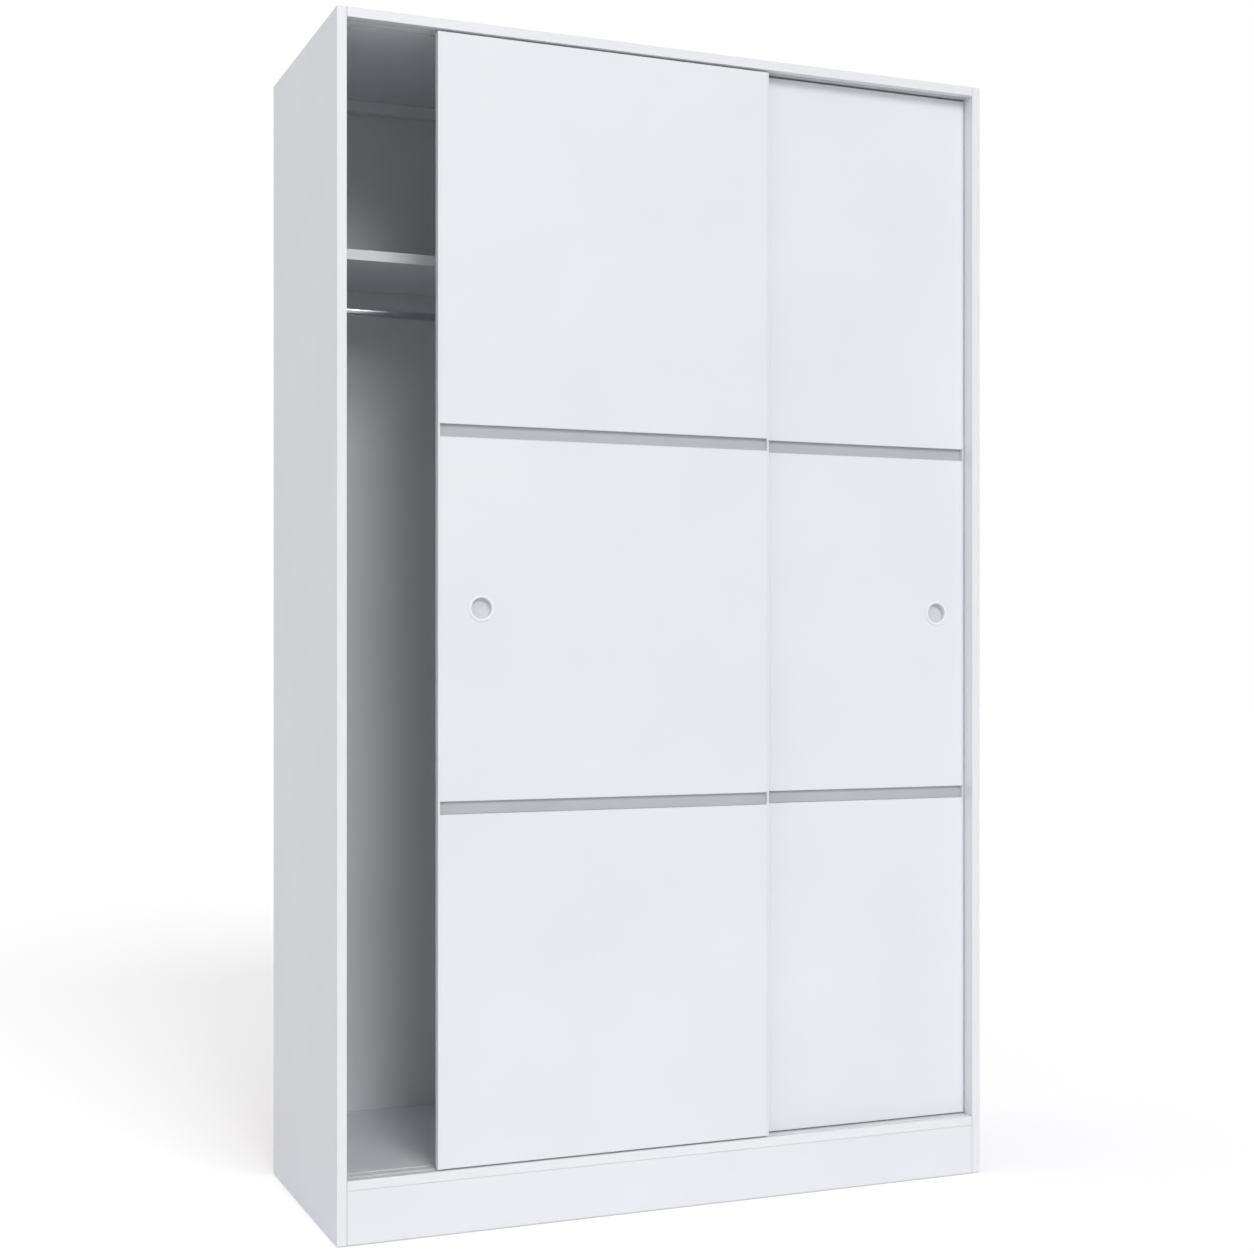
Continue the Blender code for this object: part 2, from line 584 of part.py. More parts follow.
def make_guide(name, door, panel, x):
    """A block on the door's rear face, with a tongue that runs in the top track."""
    half = GUIDE_WIDTH / 2
    back = FITTING_THICKNESS / 2
    low = DOOR_HEIGHT - GUIDE_HEIGHT
    cut_pocket(panel, f"{name}_guide", x, half, low - SEAM, DOOR_HEIGHT + CUT_PAST, door)
    tip = DOOR_HEIGHT + DOOR_GAP_ABOVE + GUIDE_ENGAGEMENT
    root = GUIDE_TONGUE / 2
    runner = RUNNER_THICKNESS / 2
    outline = [(-back, 0), (back, 0), (back, GUIDE_HEIGHT), (root, GUIDE_HEIGHT),
               (runner, tip - low), (-runner, tip - low), (-root, GUIDE_HEIGHT),
               (-back, GUIDE_HEIGHT)]
    guide = extruded(f"{name}_top_guide", outline, GUIDE_WIDTH, "X",
                     (x - half, FITTING_CENTRE, low), "nylon", door)
    for side_name, flip in (("left", -1), ("right", 1)):
        start = x + flip * GUIDE_TONGUE_LENGTH / 2
        stop = x + flip * (half + CUT_PAST)
        cut(guide, box(f"{name}_guide_{side_name}_shoulder",
                       (min(start, stop), FITTING_FRONT - CUT_PAST, DOOR_HEIGHT),
                       (max(start, stop), FITTING_REAR + CUT_PAST, tip + CUT_PAST), parent=door))


def make_doors():
    front_left = -INNER_X + FRONT_DOOR_OPENING
    make_door("front", front_left, FRONT + DOOR_SETBACK, FRONT_PULL_INSET)
    rear_left = INNER_X - DOOR_END_GAP - DOOR_WIDTH
    make_door("rear", rear_left, FRONT + DOOR_SETBACK + DOOR_PITCH, DOOR_WIDTH - REAR_PULL_INSET)


clear_scene()
make_side_panels()
make_glides()
make_top_panel()
make_bottom_panel()
make_tracks()
make_plinth()
make_back()
make_bracket()
make_shelf()
make_hanging_rail()
make_doors()
bpy.context.view_layer.update()
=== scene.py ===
import bmesh
import bpy
import json
import math
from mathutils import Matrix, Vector

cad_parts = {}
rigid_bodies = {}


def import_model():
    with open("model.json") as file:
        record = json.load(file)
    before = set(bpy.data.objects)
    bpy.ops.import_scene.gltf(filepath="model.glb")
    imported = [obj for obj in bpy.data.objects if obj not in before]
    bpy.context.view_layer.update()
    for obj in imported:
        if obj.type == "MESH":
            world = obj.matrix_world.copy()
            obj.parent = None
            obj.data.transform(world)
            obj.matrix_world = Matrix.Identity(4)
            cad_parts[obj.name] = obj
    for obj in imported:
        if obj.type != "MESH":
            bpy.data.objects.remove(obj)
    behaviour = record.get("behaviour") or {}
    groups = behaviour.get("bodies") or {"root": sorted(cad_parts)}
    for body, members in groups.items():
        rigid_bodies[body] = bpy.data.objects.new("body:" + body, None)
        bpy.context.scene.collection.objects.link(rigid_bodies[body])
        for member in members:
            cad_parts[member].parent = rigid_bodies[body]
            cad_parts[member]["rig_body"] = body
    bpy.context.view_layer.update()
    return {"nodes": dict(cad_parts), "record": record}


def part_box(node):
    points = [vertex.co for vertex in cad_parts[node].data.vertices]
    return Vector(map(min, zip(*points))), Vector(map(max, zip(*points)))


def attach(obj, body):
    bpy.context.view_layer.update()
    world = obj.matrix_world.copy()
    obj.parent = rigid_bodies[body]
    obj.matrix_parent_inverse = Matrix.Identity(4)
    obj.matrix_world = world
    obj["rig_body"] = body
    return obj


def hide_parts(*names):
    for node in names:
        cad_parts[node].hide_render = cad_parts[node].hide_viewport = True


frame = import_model()
nodes = frame["nodes"]
mm = 0.001
doors = ("front_door", "rear_door")
sides = {"left": 1, "right": -1}  # each side, and the way along X into the cabinet


# Small tools

def hexColour(text):
    channels = [int(text[i:i + 2], 16) / 255 for i in (1, 3, 5)]
    linear = [c / 12.92 if c <= 0.04045 else ((c + 0.055) / 1.055) ** 2.4 for c in channels]
    return (*linear, 1.0)


def perMetre(size):  # texture scale for features of this many millimetres
    return 1 / (size * mm)


def addNode(tree, kind, inputs=None, pick=0, **settings):
    # one node with its settings and inputs. Of the inputs, a socket is linked, so is each of a list of
    # sockets, and a plain value or a hex colour is set. The result is the output picked, or with None
    # the node itself
    node = tree.nodes.new(kind)
    for name, value in settings.items():
        setattr(node, name, value)
    for key, given in (inputs or {}).items():
        for value in given if isinstance(given, list) else [given]:
            if isinstance(value, bpy.types.NodeSocket):
                tree.links.new(value, node.inputs[key])
            else:
                isHex = isinstance(value, str) and value.startswith("#")
                node.inputs[key].default_value = hexColour(value) if isHex else value
    return node if pick is None else node.outputs[pick]


# nodes used often. Math takes its two values at 0 and 1. Mix takes its factor at 0, values at 2 and 3,
# and colours at 6 and 7
maths = "ShaderNodeMath"
mix = "ShaderNodeMix"
mapRange = "ShaderNodeMapRange"
noiseTexture = "ShaderNodeTexNoise"
asColour = {"pick": 2, "data_type": "RGBA"}
spread = {"From Min": 0.3, "From Max": 0.7}  # noise keeps to the middle of its range: this opens it out


def newMaterial(name):
    material = bpy.data.materials.new(name)
    material.use_nodes = True
    tree = material.node_tree
    tree.nodes.clear()
    shader = addNode(tree, "ShaderNodeBsdfPrincipled", pick=None)
    addNode(tree, "ShaderNodeOutputMaterial", {"Surface": shader.outputs[0]}, pick=None)
    return material, tree, shader


def finishShader(tree, shader, colour, roughness, height, depth):
    # height runs from 0 to 1 and stands for depth millimetres
    bump = addNode(tree, "ShaderNodeBump", {"Distance": depth * mm, "Strength": 1.0, "Height": height})
    for name, source in (("Base Color", colour), ("Roughness", roughness), ("Normal", bump)):
        tree.links.new(source, shader.inputs[name])


def addObject(name, data):
    item = bpy.data.objects.new(name, data)
    bpy.context.scene.collection.objects.link(item)
    return item


# Finishes of the boards

boardLook = {
    "melamine": "#ECEDF1", "melamineCloud": "#E8E9EE", "faceRoughness": (0.36, 0.46), "emboss": 0.10,
    "band": "#EEEFF1", "bandShade": "#E9EAED", "bandThickness": 1.0, "bandRoughness": (0.30, 0.36),
    "bandRelief": 0.08, "waveStretch": 0.04, "glueLine": "#B9B4A8", "glueWidth": 0.35, "glueShows": 0.35,
    "chipDark": "#8C6A42", "chipMid": "#B9935F", "chipLight": "#D9BD8C", "chipRoughness": 0.85,
    "chipEdge": (0.45, 0.9), "chipEdgeShows": 0.8, "coreChip": 3.2, "faceChip": 1.3, "faceLayer": 0.30,
    "buttJoint": "#A4A5A9", "buttWidth": 0.7, "buttShows": 0.6, "relief": 0.25,
}
# millimetres across, detail and roughness of each pattern. The pearl emboss is really about 0.4 mm across,
# and is drawn coarser so that it catches light
boardPatterns = {"cloud": (260, 3, 0.5), "pearl": (1.5, 2, 0.5), "smudge": (75, 4, 0.6),
                 "waves": (2.5, 2, 0.5)}
axisNames = "xyz"
looksAlong = 0.5  # a face looks along an axis where its normal's share of that axis is more than this


def boardFinish(node, faceAxis, banded, butted):
    # Melamine-faced chipboard: short-cycle pressed paper with a fine pearl emboss, which gives a satin
    # sheen. Banded edges are ironed-on ABS, a touch smoother and brighter, with a hairline glue joint.
    # What is neither shows the sawn chips, fine at the faces and coarse in the core.
    look = boardLook
    low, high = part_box(node)
    material, tree, shader = newMaterial(f"melamineFacedChipboard_{node}")
    coordinates = addNode(tree, "ShaderNodeTexCoord", pick=None)
    place = coordinates.outputs["Object"]
    at = addNode(tree, "ShaderNodeSeparateXYZ", {0: place}, None).outputs
    facing = addNode(tree, "ShaderNodeSeparateXYZ", {0: coordinates.outputs["Normal"]}, None).outputs
    across = axisNames.index(faceAxis)
    along = max(range(3), key=lambda i: high[i] - low[i])
    stretch = tuple(look["waveStretch"] if i == along else 1.0 for i in range(3))
    drawnOut = addNode(tree, "ShaderNodeMapping", {"Vector": place, "Scale": stretch})
    noise = {}
    for name, (size, detail, rough) in boardPatterns.items():
        noise[name] = addNode(tree, noiseTexture,
                              {"Vector": drawnOut if name == "waves" else place,
                               "Scale": perMetre(size), "Detail": detail, "Roughness": rough})

    # the pressed face, and the ABS band with the faint long waves that extrusion leaves
    cloudy = addNode(tree, mapRange, {"Value": noise["cloud"], **spread})
    wavy = addNode(tree, mapRange, {"Value": noise["waves"], **spread})
    face = addNode(tree, mix, {0: cloudy, 6: look["melamine"], 7: look["melamineCloud"]}, **asColour)
    band = addNode(tree, mix, {0: wavy, 6: look["band"], 7: look["bandShade"]}, **asColour)
    smooth, rubbed = look["faceRoughness"]
    faceRough = addNode(tree, mapRange, {"Value": noise["smudge"], **spread,
                                         "To Min": smooth, "To Max": rubbed})
    smooth, rubbed = look["bandRoughness"]
    bandRough = addNode(tree, mapRange, {"Value": noise["waves"], **spread,
                                         "To Min": smooth, "To Max": rubbed})

    # where a banded edge is, and its glue joint on the faces beside it
    bandMask, joint = 0.0, 0.0
    for edge in banded:
        axis, sign = axisNames.index(edge[1]), (1 if edge[0] == "+" else -1)
        outwards = addNode(tree, maths, {0: facing[axis], 1: sign}, operation="MULTIPLY")
        onBand = addNode(tree, maths, {0: outwards, 1: looksAlong}, operation="GREATER_THAN")
        bandMask = addNode(tree, maths, {0: onBand, 1: bandMask}, operation="MAXIMUM")
        rim = (high if sign > 0 else low)[axis]
        fromRim = addNode(tree, maths, {0: at[axis], 1: rim}, operation="SUBTRACT")
        inwards = addNode(tree, maths, {0: fromRim}, operation="ABSOLUTE")
        past = addNode(tree, maths, {0: inwards, 1: look["bandThickness"] * mm}, operation="SUBTRACT")
        off = addNode(tree, maths, {0: past}, operation="ABSOLUTE")
        line = addNode(tree, mapRange, {"Value": off, "From Min": 0, "From Max": look["glueWidth"] * mm,
                                        "To Min": 1, "To Max": 0})
        joint = addNode(tree, maths, {0: line, 1: joint}, operation="MAXIMUM")
    facingOut = addNode(tree, maths, {0: facing[across]}, operation="ABSOLUTE")
    faceMask = addNode(tree, maths, {0: facingOut, 1: looksAlong}, operation="GREATER_THAN")
    shown = addNode(tree, maths, {0: faceMask, 1: look["glueShows"]}, operation="MULTIPLY")
    joint = addNode(tree, maths, {0: joint, 1: shown}, operation="MULTIPLY")
    face = addNode(tree, mix, {0: joint, 6: face, 7: look["glueLine"]}, **asColour)

    # where the board's ends stand against the side panels, the joint shows as a soft hairline
    if butted:
        middleX, halfX = (low.x + high.x) / 2, (high.x - low.x) / 2
        offMiddle = addNode(tree, maths, {0: at[0], 1: middleX}, operation="SUBTRACT")
        fromMiddle = addNode(tree, maths, {0: offMiddle}, operation="ABSOLUTE")
        ends = addNode(tree, mapRange, {"Value": fromMiddle, "From Min": halfX - look["buttWidth"] * mm,
                                        "From Max": halfX, "To Max": look["buttShows"]})
        face = addNode(tree, mix, {0: ends, 6: face, 7: look["buttJoint"]}, **asColour)
        band = addNode(tree, mix, {0: ends, 6: band, 7: look["buttJoint"]}, **asColour)

    # sawn chipboard, with fine chips in the layer under each face
    middle, half = (low[across] + high[across]) / 2, (high[across] - low[across]) / 2
    offMiddle = addNode(tree, maths, {0: at[across], 1: middle}, operation="SUBTRACT")
    depth = addNode(tree, maths, {0: offMiddle}, operation="ABSOLUTE")
    layer = addNode(tree, maths, {0: depth, 1: half * (1 - look["faceLayer"])}, operation="GREATER_THAN")
    chipTones, chipEdges = [], []
    for size in (look["coreChip"], look["faceChip"]):
        chip = addNode(tree, "ShaderNodeTexVoronoi", {"Vector": place, "Scale": perMetre(size)}, None)
        chipTones.append(addNode(tree, "ShaderNodeSeparateColor", {0: chip.outputs["Color"]}))
        chipEdges.append(chip.outputs["Distance"])
    chipTone = addNode(tree, mix, {0: layer, 2: chipTones[0], 3: chipTones[1]})
    chipEdge = addNode(tree, mix, {0: layer, 2: chipEdges[0], 3: chipEdges[1]})
    chips = addNode(tree, mix, {0: chipTone, 6: look["chipMid"], 7: look["chipLight"]}, **asColour)
    start, stop = look["chipEdge"]
    gaps = addNode(tree, mapRange, {"Value": chipEdge, "From Min": start, "From Max": stop,
                                    "To Max": look["chipEdgeShows"]})
    chips = addNode(tree, mix, {0: gaps, 6: chips, 7: look["chipDark"]}, **asColour)

    covered = addNode(tree, maths, {0: faceMask, 1: bandMask}, operation="MAXIMUM")
    rawMask = addNode(tree, maths, {0: 1.0, 1: covered}, operation="SUBTRACT")
    colour = addNode(tree, mix, {0: bandMask, 6: face, 7: band}, **asColour)
    colour = addNode(tree, mix, {0: rawMask, 6: colour, 7: chips}, **asColour)
    roughness = addNode(tree, mix, {0: bandMask, 2: faceRough, 3: bandRough})
    roughness = addNode(tree, mix, {0: rawMask, 2: roughness, 3: look["chipRoughness"]})
    emboss = addNode(tree, maths, {0: noise["pearl"], 1: look["emboss"]}, operation="MULTIPLY")
    ripple = addNode(tree, maths, {0: noise["waves"], 1: look["bandRelief"]}, operation="MULTIPLY")
    sawn = addNode(tree, maths, {0: 1.0, 1: chipEdge}, operation="SUBTRACT")
    height = addNode(tree, mix, {0: bandMask, 2: emboss, 3: ripple})
    height = addNode(tree, mix, {0: rawMask, 2: height, 3: sawn})
    finishShader(tree, shader, colour, roughness, height, look["relief"])
    return material


buttedBoards = ("top_panel", "bottom_panel", "front_plinth")
boards = {  # node: axis through its thickness, and its banded edges
    "left_side_panel": ("x", ["-y", "+z", "-z"]), "right_side_panel": ("x", ["-y", "+z", "-z"]),
    "top_panel": ("z", ["-y"]), "bottom_panel": ("z", ["-y"]),
    "front_plinth": ("y", ["+z", "-z"]), "rear_plinth": ("y", []), "plinth_crosspiece": ("x", []),
    "shelf": ("z", ["-y"]), "rear_top_batten": ("y", ["-z"]),
}
for door in doors:
    for row in ("lower", "middle", "upper"):
        boards[f"{door}_{row}_panel"] = ("y", ["+z", "-z"])


def paint(node, material):
    nodes[node].data.materials.clear()
    nodes[node].data.materials.append(material)


for node, (faceAxis, banded) in boards.items():
    paint(node, boardFinish(node, faceAxis, banded, node in buttedBoards))
print(f"boards finished: {len(boards)}")


# Other finishes

hardboardLook = {
    "lacquer": "#E6E7EA", "lacquerShade": "#E1E2E6", "lacquerRoughness": (0.42, 0.5), "peel": 0.3,
    "raw": "#AD8A62", "rawDark": "#926E49", "rawRoughness": (0.62, 0.8), "cloudShows": 0.45,
    "fleck": "#C4A37A", "fleckFrom": (0.62, 0.72), "fleckShows": 0.7, "relief": 0.12,
}
hardboardPatterns = {"cloud": (300, 4, 0.5), "fibre": (5, 5, 0.7), "fleck": (2.2, 1, 0.5),
                     "peel": (3.0, 1, 0.5)}


def hardboardFinish():
    # Hardboard: pressed wood fibre, 3 mm thick. The face inside is lacquered white and smooth, the rear
    # face is left raw, brown and fibrous.
    look = hardboardLook
    material, tree, shader = newMaterial("lacqueredHardboard")
    coordinates = addNode(tree, "ShaderNodeTexCoord", pick=None)
    facing = addNode(tree, "ShaderNodeSeparateXYZ", {0: coordinates.outputs["Normal"]}, 1)
    front = addNode(tree, maths, {0: facing, 1: -looksAlong}, operation="LESS_THAN")
    noise = {}
    for name, (size, detail, rough) in hardboardPatterns.items():
        noise[name] = addNode(tree, noiseTexture,
                              {"Vector": coordinates.outputs["Object"], "Scale": perMetre(size),
                               "Detail": detail, "Roughness": rough})
    fibres = addNode(tree, mapRange, {"Value": noise["fibre"], **spread})
    raw = addNode(tree, mix, {0: fibres, 6: look["raw"], 7: look["rawDark"]}, **asColour)
    patches = addNode(tree, mapRange, {"Value": noise["cloud"], **spread, "To Max": look["cloudShows"]})
    raw = addNode(tree, mix, {0: patches, 6: raw, 7: look["rawDark"]}, **asColour)
    start, stop = look["fleckFrom"]
    flecks = addNode(tree, mapRange, {"Value": noise["fleck"], "From Min": start, "From Max": stop,
                                      "To Max": look["fleckShows"]})
    raw = addNode(tree, mix, {0: flecks, 6: raw, 7: look["fleck"]}, **asColour)
    cloudy = addNode(tree, mapRange, {"Value": noise["cloud"], **spread})
    lacquer = addNode(tree, mix, {0: cloudy, 6: look["lacquer"], 7: look["lacquerShade"]}, **asColour)
    colour = addNode(tree, mix, {0: front, 6: raw, 7: lacquer}, **asColour)
    smooth, rubbed = look["rawRoughness"]
    rawRough = addNode(tree, mapRange, {"Value": noise["fibre"], **spread,
                                        "To Min": smooth, "To Max": rubbed})
    smooth, rubbed = look["lacquerRoughness"]
    lacquerRough = addNode(tree, mapRange, {"Value": noise["cloud"], **spread,
                                            "To Min": smooth, "To Max": rubbed})
    roughness = addNode(tree, mix, {0: front, 2: rawRough, 3: lacquerRough})
    peel = addNode(tree, maths, {0: noise["peel"], 1: look["peel"]}, operation="MULTIPLY")
    height = addNode(tree, mix, {0: front, 2: noise["fibre"], 3: peel})
    finishShader(tree, shader, colour, roughness, height, look["relief"])
    return material


# detail and roughness of each pattern; each finish below gives its size in millimetres
patternKinds = {"cloud": (3, 0.5), "grain": (2, 0.5), "rubbed": (4, 0.6), "smear": (4, 0.65)}


def mouldedOrDrawn(name, look):
    # one recipe for plastics and plated metals: cloudy tone, fine grain or drawing lines, and a roughness
    # that varies where hands have rubbed a plastic or smeared a metal
    material, tree, shader = newMaterial(name)
    place = addNode(tree, "ShaderNodeTexCoord", pick="Object")
    drawnOut = place
    if "stretch" in look:
        drawnOut = addNode(tree, "ShaderNodeMapping", {"Vector": place, "Scale": look["stretch"]})
    noise = {}
    for pattern, (detail, rough) in patternKinds.items():
        if pattern in look:
            noise[pattern] = addNode(tree, noiseTexture,
                                     {"Vector": drawnOut if pattern == "grain" else place,
                                      "Scale": perMetre(look[pattern]), "Detail": detail,
                                      "Roughness": rough})
    cloudy = addNode(tree, mapRange, {"Value": noise["cloud"], **spread})
    colour = addNode(tree, mix, {0: cloudy, 6: look["colour"], 7: look["shade"]}, **asColour)
    if "paintedShade" in look:  # painted shade: greyed where the piece's own attribute says, standing in for the shade deep in a hollow
        paintedShade = addNode(tree, "ShaderNodeAttribute", pick="Fac", attribute_name="paintedShade")
        colour = addNode(tree, mix, {0: paintedShade, 6: colour, 7: look["paintedShade"]}, **asColour)
    handled = noise["smear" if "smear" in look else "rubbed"]
    smooth, rubbed = look["roughness"]
    roughness = addNode(tree, mapRange, {"Value": handled, **spread, "To Min": smooth, "To Max": rubbed})
    finishShader(tree, shader, colour, roughness, noise["grain"], look["depth"])
    for socket in ("IOR", "Metallic"):
        if socket in look:
            shader.inputs[socket].default_value = look[socket]
    return material


finishes = {
    "hardboard": hardboardFinish(),
    # ABS T-profile, extruded: fine lines along the door's edge and a satin face
    "edge_trim": mouldedOrDrawn("absEdgeProfile", {
        "colour": "#EDEEF1", "shade": "#E8E9ED", "cloud": 120, "grain": 1.6, "stretch": (1, 1, 0.03),
        "rubbed": 40, "roughness": (0.30, 0.38), "depth": 0.008, "IOR": 1.53}),
    # grey polystyrene joining strip, extruded along the door's width
    "grey_plastic": mouldedOrDrawn("greyPolystyreneExtrusion", {
        "colour": "#BDBEC2", "shade": "#B7B8BD", "cloud": 90, "grain": 1.4, "stretch": (0.03, 1, 1),
        "rubbed": 50, "roughness": (0.42, 0.52), "depth": 0.008, "IOR": 1.55}),
    # rigid PVC channel, extruded, a little dulled where things slide in it
    "track_plastic": mouldedOrDrawn("rigidPvcExtrusion", {
        "colour": "#E9EAEC", "shade": "#E0E1E4", "cloud": 60, "grain": 1.2, "stretch": (0.03, 1, 1),
        "rubbed": 25, "roughness": (0.34, 0.50), "depth": 0.008, "IOR": 1.54}),
    # moulded ABS with a spark-eroded grain of about 0.2 mm, drawn at 0.7 mm. The cup is painted greyer
    # with depth, as painted shade
    "pull_plastic": mouldedOrDrawn("mouldedAbs", {
        "colour": "#F2F3F5", "shade": "#EEEFF2", "paintedShade": "#D2D3D7", "cloud": 30, "grain": 0.7,
        "rubbed": 12, "roughness": (0.28, 0.36), "depth": 0.012, "IOR": 1.53}),
    # natural nylon, milky and slightly waxy
    "nylon": mouldedOrDrawn("naturalNylon", {
        "colour": "#E4E2DA", "shade": "#DAD8CE", "cloud": 15, "grain": 0.9,
        "rubbed": 10, "roughness": (0.38, 0.50), "depth": 0.015, "IOR": 1.53}),
    # chromed steel tube: bright mirror with faint drawing lines along it and finger smears
    "chromed_steel": mouldedOrDrawn("chromedSteel", {
        "colour": "#DEE0E4", "shade": "#D6D8DD", "cloud": 80, "grain": 0.8, "stretch": (0.02, 1, 1),
        "smear": 30, "roughness": (0.12, 0.24), "depth": 0.004, "Metallic": 1.0}),
    # bright zinc plate: bluish, with a fine crystalline grain
    "zinc_plated_steel": mouldedOrDrawn("brightZincPlate", {
        "colour": "#C6CACE", "shade": "#B7BABD", "cloud": 6, "grain": 0.6,
        "smear": 8, "roughness": (0.26, 0.40), "depth": 0.008, "Metallic": 1.0}),
}
for part in frame["record"]["subparts"]:
    if part["material_slot"] in finishes:
        paint(part["node"], finishes[part["material_slot"]])
print("plastics and metals finished")


# Turned pieces, made again with fine curves in place of the faceted solids

smoothAngle = math.radians(30)
tiny = 1e-6  # points nearer than this are one point


def arc(centreRadius, centreHeight, radius, start, stop, steps=8):
    angles = [math.radians(start + (stop - start) * i / steps) for i in range(steps + 1)]
    return [(centreRadius + radius * math.cos(a), centreHeight + radius * math.sin(a)) for a in angles]


def meshObject(name, shape):
    bmesh.ops.remove_doubles(shape, verts=shape.verts, dist=tiny)
    bmesh.ops.recalc_face_normals(shape, faces=shape.faces)
    mesh = bpy.data.meshes.new(name)
    shape.to_mesh(mesh)
    shape.free()
    mesh.shade_smooth()
    mesh.set_sharp_from_angle(angle=smoothAngle)
    return addObject(name, mesh)


def lathe(name, profile, centre, direction, segments):
    # profile runs as (radius, height along direction); it ends on the axis, or else closes on itself
    shape = bmesh.new()
    rings = []
    for radius, height in profile:
        count = segments if radius > tiny else 1
        rings.append([shape.verts.new((radius * math.cos(math.tau * i / segments),
                                       radius * math.sin(math.tau * i / segments), height))
                      for i in range(count)])
    pairs = list(zip(rings, rings[1:]))
    if len(rings[0]) > 1:
        pairs.append((rings[-1], rings[0]))
    for first, second in pairs:
        for i in range(segments):
            j = i + 1
            corners = [first[i % len(first)], first[j % len(first)],
                       second[j % len(second)], second[i % len(second)]]
            corners = list(dict.fromkeys(corners))
            if len(corners) > 2:
                shape.faces.new(corners)
    turn = Vector((0, 0, 1)).rotation_difference(Vector(direction)).to_matrix()
    bmesh.ops.rotate(shape, matrix=turn, verts=shape.verts)
    bmesh.ops.translate(shape, vec=centre, verts=shape.verts)
    return meshObject(name, shape)


def standFor(piece, node, slot):
    piece.data.materials.append(finishes[slot])
    body = nodes[node]["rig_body"]
    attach(piece, body)
    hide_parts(node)


pullSizes = {"wall": 1.5 * mm, "rimWidth": 5.0 * mm, "behind": 0.3 * mm, "outerFillet": 1.0 * mm,
             "innerFillet": 1.2 * mm, "crown": 0.12 * mm, "draft": 0.35 * mm, "floorFillet": 2.5 * mm,
             "proud": 1.5 * mm, "dimpleRadius": 1.6 * mm, "dimpleTaper": 0.6, "dimpleDepth": 0.25 * mm,
             "segments": 160}


def makePull(door):
    node = f"{door}_finger_pull"
    low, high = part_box(node)
    s = pullSizes
    outer = (high.x - low.x) / 2
    cup = outer - s["rimWidth"]
    shell = cup + s["wall"]
    top = s["proud"]
    back = top - (high.y - low.y)
    floor = back + s["wall"]
    ro, ri, rf = s["outerFillet"], s["innerFillet"], s["floorFillet"]
    profile = [(0, back), (shell - rf, back)] + arc(shell - rf, back + rf, rf, -90, 0)
    profile += [(shell, s["behind"]), (outer, s["behind"])]
    profile += arc(outer - ro, top - ro, ro, 0, 90)
    profile += [((outer + cup) / 2, top + s["crown"])]
    profile += arc(cup + ri, top - ri, ri, 90, 180)
    inner = cup - s["draft"]
    profile += arc(inner - rf, floor + rf, rf, 0, -90)
    dimple, bottom = s["dimpleRadius"], floor - s["dimpleDepth"]
    profile += [(dimple, floor), (dimple * s["dimpleTaper"], bottom), (0, bottom)]
    centre = ((low.x + high.x) / 2, low.y + top, (low.z + high.z) / 2)
    piece = lathe(f"{door}_moulded_pull", profile, centre, (0, -1, 0), s["segments"])
    # painted shade: greyer the deeper it is in the cup, standing in for the shade inside the cup
    paintedShade = piece.data.attributes.new("paintedShade", "FLOAT", "POINT")
    for item, vertex in zip(paintedShade.data, piece.data.vertices):
        item.value = min(max((vertex.co.y - centre[1]) / (top - floor), 0.0), 1.0)
    standFor(piece, node, "pull_plastic")


railSizes = {"wall": 1.0 * mm, "endChamfer": 0.3 * mm, "segments": 128}
socketSizes = {"flange": 3.0 * mm, "flangeFillet": 1.0 * mm, "cupRadius": 7.8 * mm, "cupWall": 2.0 * mm,
               "rootFillet": 2.0 * mm, "lipFillet": 0.6 * mm, "segments": 128}


def makeRail():
    low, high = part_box("hanging_rail")
    s = railSizes
    radius = (high.z - low.z) / 2
    half = (high.x - low.x) / 2
    bore, cham = radius - s["wall"], s["endChamfer"]
    profile = [(bore, -half), (radius - cham, -half), (radius, cham - half),
               (radius, half - cham), (radius - cham, half), (bore, half)]
    piece = lathe("hanging_rail_tube", profile, (low + high) / 2, (1, 0, 0), s["segments"])
    standFor(piece, "hanging_rail", "chromed_steel")


def makeSocket(side, inwards):
    node = f"rail_socket_{side}"
    low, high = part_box(node)
    s = socketSizes
    flangeRadius = (high.z - low.z) / 2
    length = high.x - low.x
    outer = s["cupRadius"] + s["cupWall"]
    rf, rr, rl = s["flangeFillet"], s["rootFillet"], s["lipFillet"]
    profile = [(0, 0), (flangeRadius, 0)]
    profile += arc(flangeRadius - rf, s["flange"] - rf, rf, 0, 90)
    profile += arc(outer + rr, s["flange"] + rr, rr, 270, 180)
    profile += arc(outer - rl, length - rl, rl, 0, 90)
    profile += [(s["cupRadius"], length), (s["cupRadius"], s["flange"]), (0, s["flange"])]
    wall = low.x if inwards > 0 else high.x
    centre = (wall, (low.y + high.y) / 2, (low.z + high.z) / 2)
    piece = lathe(f"rail_socket_{side}_cup", profile, centre, (inwards, 0, 0), s["segments"])
    standFor(piece, node, "chromed_steel")


wheelSizes = {"bore": 1.8 * mm, "hub": 4.2 * mm, "web": 0.8 * mm, "rim": 9.4 * mm, "crown": 0.5 * mm,
              "crownSteps": 4, "shoulder": 0.8 * mm, "segments": 96}


